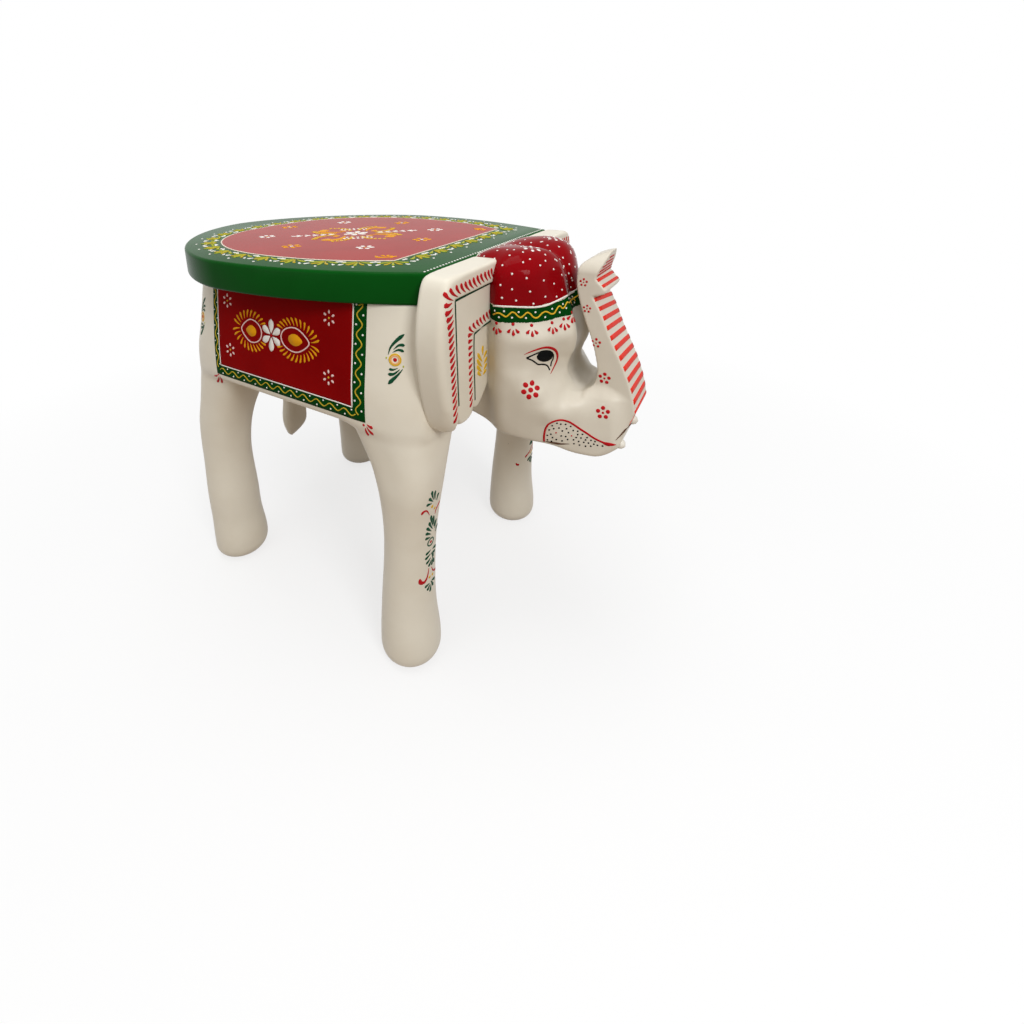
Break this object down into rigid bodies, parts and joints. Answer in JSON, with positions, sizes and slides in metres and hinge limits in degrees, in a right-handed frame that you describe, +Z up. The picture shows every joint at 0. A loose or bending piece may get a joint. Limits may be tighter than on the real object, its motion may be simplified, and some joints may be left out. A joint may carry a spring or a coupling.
{
  "type": "carved elephant stool",
  "caption": "Low wooden stool carved as an elephant, with a flat oval seat on its back, four legs, square ears and a raised trunk.",
  "frame": {"origin": "on the ground under the middle of the stool's overall box", "axes": "+X forward to the trunk, +Y to the elephant's left, +Z up"},
  "size_m": [0.4572, 0.3048, 0.3506],
  "materials": {
    "green_lacquer": "dark green gloss lacquer on wood",
    "ivory_paint": "satin ivory paint on carved wood",
    "bare_wood": "unfinished turned dowel",
    "tusk_white": "white painted wood"
  },
  "bodies": {
    "root": {"seat_board": "green_lacquer", "seat_dowels": "bare_wood", "body_block": "ivory_paint", "front_right_leg": "ivory_paint", "front_left_leg": "ivory_paint", "rear_right_leg": "ivory_paint", "rear_left_leg": "ivory_paint", "front_leg_dowels": "bare_wood", "rear_leg_dowels": "bare_wood", "head_block": "ivory_paint", "neck_dowels": "bare_wood", "trunk": "ivory_paint", "trunk_dowels": "bare_wood", "right_ear": "ivory_paint", "left_ear": "ivory_paint", "ear_dowels": "bare_wood", "right_tusk": "tusk_white", "left_tusk": "tusk_white", "tail": "ivory_paint", "tail_dowel": "bare_wood"}
  },
  "joints": []
}
